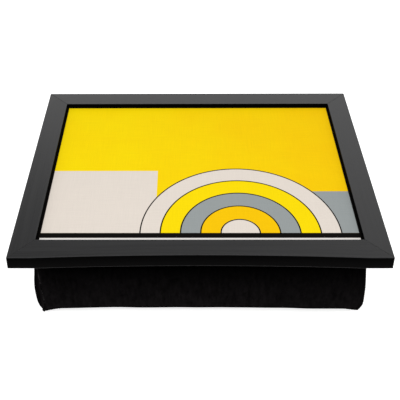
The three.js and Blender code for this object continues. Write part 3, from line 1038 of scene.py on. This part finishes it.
def sew(curve, points, tips, settings, width, closed):
    """Add one rolled seam to a curve, pinched at every stitch and bunched up near the tips."""
    spline = curve.splines.new("POLY")
    spline.points.add(len(points) - 1)
    spline.use_cyclic_u = closed
    for number, (made, place) in enumerate(zip(spline.points, points)):
        pinch = math.cos(2 * math.pi * number / STEPS_PER_STITCH)
        gather = math.exp(-((min((place - tip).length for tip in tips) / settings.tip_gather) ** 2))
        bobble = noise.noise(place / settings.stitch)
        made.co = (*place, 1.0)
        made.radius = width + STITCH_PINCH * pinch + BUNCHING * gather * (1 + bobble)


def make_seams(cushion, corners, base, settings):
    """Rolled seams up the four corners and round the base, standing out at the tips where they meet."""
    curve = bpy.data.curves.new("seam_line", "CURVE")
    curve.dimensions = "3D"
    curve.bevel_depth = settings.seam_radius
    curve.bevel_resolution = SEAM_ROUNDNESS
    curve.use_fill_caps = True
    step = settings.stitch / STEPS_PER_STITCH
    sewn_points = cushion.data.vertices
    tips = [sewn_points[run[0]].co for run in corners.values()]
    for (side, run), tip in zip(corners.items(), tips):
        outwards = Vector((*side, 0)).normalized()
        sewn = [tip + outwards * settings.tip_length, tip]
        for index in run[1:]:
            sunk = sewn_points[index].co - sewn_points[index].normal * settings.seam_sink
            if sunk.z < RAIL_LOW.z:
                sewn.append(sunk)
        sew(curve, walk(sewn, step), tips, settings, CORNER_SEAM, False)
    around = [sewn_points[index].co for index in base]
    sew(curve, walk(around + around[:1], step)[:-1], tips, settings, BASE_SEAM, True)
    line = add_object("seam_line", curve)
    mesh = evaluated_mesh(line)
    bpy.data.objects.remove(line)
    shade_smooth(mesh, ALL_SMOOTH)
    return add_object("cushion_seams", mesh)


def make_hem(settings):
    """Top of the cover inside the rails: it stands in the rebate and is turned in over the board."""
    low, high = FILL_HIGH.z + FIT_GAP, COVER_HIGH.z
    bm = bmesh.new()
    bmesh.ops.create_cube(bm, size=1.0)
    bmesh.ops.scale(bm, vec=(2 * COLLAR_HALF_X, 2 * COLLAR_HALF_Y, high - low), verts=bm.verts)
    bmesh.ops.translate(bm, vec=(0, 0, (low + high) / 2), verts=bm.verts)
    upright = [edge for edge in bm.edges if abs(edge.verts[0].co.z - edge.verts[1].co.z) > TOLERANCE]
    round_edges(bm, upright, settings.collar_corner, ROUND_SEGMENTS)
    bm.normal_update()
    top = [face for face in bm.faces if face.normal.z > MOSTLY]
    bmesh.ops.inset_region(bm, faces=top, thickness=settings.hem)
    bottom = [face for face in bm.faces if face.normal.z < -MOSTLY]
    bmesh.ops.delete(bm, geom=top + bottom, context="FACES_ONLY")
    bmesh.ops.solidify(bm, geom=bm.faces[:], thickness=settings.cloth)
    bmesh.ops.recalc_face_normals(bm, faces=bm.faces)
    hem = new_object("cushion_hem", bm)
    shade_smooth(hem.data, SHARP)
    return hem


def sew_cover(settings):
    """The empty cover, held for the filling, and where its seams run."""
    bm = bmesh.new()
    bmesh.ops.create_cube(bm, size=2.0)
    cut_into_grid(bm)
    bm.verts.index_update()
    corners, base = find_seams(bm)
    sewn = set(base).union(*corners.values())
    crease = bm.edges.layers.float.new("crease_edge")
    for edge in bm.edges:
        if all(vert.index in sewn for vert in edge.verts):
            edge[crease] = 1.0
    # Faces of the two end panels, which get painted shade.
    ends = [float(abs(face.calc_center_median().x) > END_FACE) for face in bm.faces]
    held = []
    corner_highlights = []
    for vert in bm.verts:
        place = vert.co.copy()
        vert.co = cushion_point(settings, place)
        held.append(held_share(settings, place, vert.co, vert.index in sewn))
        corner_highlights.append(corner_highlight_share(settings, place))
    bmesh.ops.recalc_face_normals(bm, faces=bm.faces)
    cushion = new_object("cushion", bm)
    cushion.data.attributes.new(END_ATTRIBUTE, "FLOAT", "FACE").data.foreach_set("value", ends)
    cushion.data.attributes.new(CORNER_HIGHLIGHT_ATTRIBUTE, "FLOAT", "POINT").data.foreach_set("value", corner_highlights)
    group = cushion.vertex_groups.new(name=PIN_GROUP)
    for index, share in enumerate(held):
        group.add([index], share, "REPLACE")
    return cushion, corners, base


class LAPTRAY_OT_cushion(bpy.types.Operator):
    """Sew and fill the bead cushion under the tray"""

    bl_idname = "lap_tray.cushion"
    bl_label = "Cushion"

    def execute(self, context):
        settings = context.scene.lap_tray_cushion
        cushion, corners, base = sew_cover(settings)
        fill_with_beads(cushion, settings)
        raise_lumps(cushion, settings)
        shade_smooth(cushion.data, ALL_SMOOTH)
        finer = cushion.modifiers.new("finer", "SUBSURF")
        finer.levels = 1
        finer.render_levels = 1
        suede = make_fabric(
            "cushion_suede", settings, raised=settings.nap, flattest=0.35, patches=75.0, shade_curve=0.7
        )
        # The rolled seams get a paler nap all over: a painted highlight.
        highlit_suede = make_fabric(
            "highlit_seam_suede", settings, raised=settings.seam_highlight, flattest=-0.35, patches=420.0, shade_curve=0.0
        )
        add_piece(cushion, [suede], ["cushion_cover", "bead_fill"])
        add_piece(make_seams(cushion, corners, base, settings), [highlit_suede])
        add_piece(make_hem(settings), [suede])
        return {"FINISHED"}


# Stage

RIM = Vector((0.0, 0.0, RAIL_HIGH.z))
SOFTBOX_SIZE = (1.6, 1.2)
SOFTBOX_PLACE = Vector((0.0, -0.4, 1.4))
PANEL_SIZE = (4.2, 1.1)
PANEL_PLACE = Vector((0.8, 1.5, 1.35))
FLOOR_HALF = 4.0
SENSOR_WIDTH = 36
WHITE = (1.0, 1.0, 1.0)


def stage_light(name, power, size, place, only_mirrored=False):
    """A soft light that faces the rim. One that is only mirrored shows in the gloss alone."""
    lamp = bpy.data.lights.new(name, "AREA")
    lamp.shape = "RECTANGLE"
    lamp.size, lamp.size_y = size
    lamp.energy = power
    made = add_object(name, lamp)
    made.location = place
    made.rotation_euler = (RIM - place).to_track_quat("-Z", "Y").to_euler()
    made.visible_diffuse = not only_mirrored


def picture_rays(tree):
    """1 for rays that show the surroundings in the picture: seen, mirrored or seen through."""
    path = add_node(tree, "ShaderNodeLightPath")
    seen = calculate(tree, "MAXIMUM", path.outputs["Is Camera Ray"], path.outputs["Is Glossy Ray"])
    return calculate(tree, "MAXIMUM", seen, path.outputs["Is Transmission Ray"])


def make_world(settings):
    """White surroundings that light the tray softly."""
    world = bpy.data.worlds.new("surroundings")
    tree = blank_tree(world)
    strength = between(tree, picture_rays(tree), settings.ambient, 1.0)
    light = add_node(tree, "ShaderNodeBackground", {"Color": opaque(WHITE), "Strength": strength})
    add_node(tree, "ShaderNodeOutputWorld", {"Surface": light.outputs[0]})
    return world


def make_floor_paint(settings):
    """Pale floor that stays white in the picture and keeps the tray's shadow."""
    material = bpy.data.materials.new("floor_paint")
    tree = blank_tree(material)
    paint = add_node(tree, "ShaderNodeBsdfDiffuse", {"Color": opaque(settings.floor)})
    strength = multiply(tree, picture_rays(tree), settings.floor_glow)
    glow = add_node(tree, "ShaderNodeEmission", {"Strength": strength})
    both = add_node(tree, "ShaderNodeAddShader", {0: paint.outputs[0], 1: glow.outputs[0]})
    add_node(tree, "ShaderNodeOutputMaterial", {"Surface": both.outputs[0]})
    return material


def make_camera(settings):
    """Camera at the photograph's viewing angle, measured from the middle of the rim."""
    data = bpy.data.cameras.new("photograph")
    data.lens = settings.lens
    data.sensor_width = SENSOR_WIDTH
    data.shift_x = settings.crop
    camera = add_object("photograph", data)
    aside = Matrix.Rotation(settings.yaw, 4, "Z")
    down = Matrix.Rotation(math.pi / 2 - settings.pitch, 4, "X")
    tilt = Matrix.Rotation(settings.roll, 4, "Z")
    away = Matrix.Translation((settings.aim_x, settings.aim_y, settings.distance))
    camera.matrix_world = Matrix.Translation(RIM) @ aside @ down @ tilt @ away
    bpy.context.scene.camera = camera


class LAPTRAY_OT_stage(bpy.types.Operator):
    """Set up the floor, the soft light and the camera"""

    bl_idname = "lap_tray.stage"
    bl_label = "Stage"

    def execute(self, context):
        settings = context.scene.lap_tray_stage
        context.scene.view_settings.view_transform = "Standard"
        context.scene.world = make_world(settings)
        bm = bmesh.new()
        bmesh.ops.create_grid(bm, x_segments=1, y_segments=1, size=FLOOR_HALF)
        floor = new_object("floor", bm)
        floor.data.materials.append(make_floor_paint(settings))
        stage_light("softbox", settings.softbox, SOFTBOX_SIZE, SOFTBOX_PLACE)
        stage_light("back_panel", settings.back_panel, PANEL_SIZE, PANEL_PLACE, only_mirrored=True)
        make_camera(settings)
        return {"FINISHED"}


OPERATORS = (
    LAPTRAY_OT_stage,
    LAPTRAY_OT_rails,
    LAPTRAY_OT_fixings,
    LAPTRAY_OT_sheets,
    LAPTRAY_OT_cushion,
)


class LAPTRAY_PT_panel(bpy.types.Panel):
    """Lists the steps and the settings of the lap tray"""

    bl_idname = "LAPTRAY_PT_panel"
    bl_label = "Lap Tray"
    bl_space_type = "VIEW_3D"
    bl_region_type = "UI"
    bl_category = "Lap Tray"

    def draw(self, context):
        for step in OPERATORS:
            self.layout.operator(step.bl_idname)
        for name, group in SETTINGS.items():
            box = self.layout.box()
            box.label(text=group.__doc__)
            for setting in group.__annotations__:
                box.prop(getattr(context.scene, name), setting)


CLASSES = (*SETTINGS.values(), *OPERATORS, LAPTRAY_PT_panel)


def register():
    for cls in CLASSES:
        bpy.utils.register_class(cls)
    for name, group in SETTINGS.items():
        setattr(bpy.types.Scene, name, PointerProperty(type=group))


def unregister():
    for name in SETTINGS:
        delattr(bpy.types.Scene, name)
    for cls in reversed(CLASSES):
        bpy.utils.unregister_class(cls)


def main():
    register()
    bpy.ops.lap_tray.stage()
    bpy.ops.lap_tray.rails()
    bpy.ops.lap_tray.fixings()
    bpy.ops.lap_tray.sheets()
    bpy.ops.lap_tray.cushion()


if __name__ == "__main__":
    main()
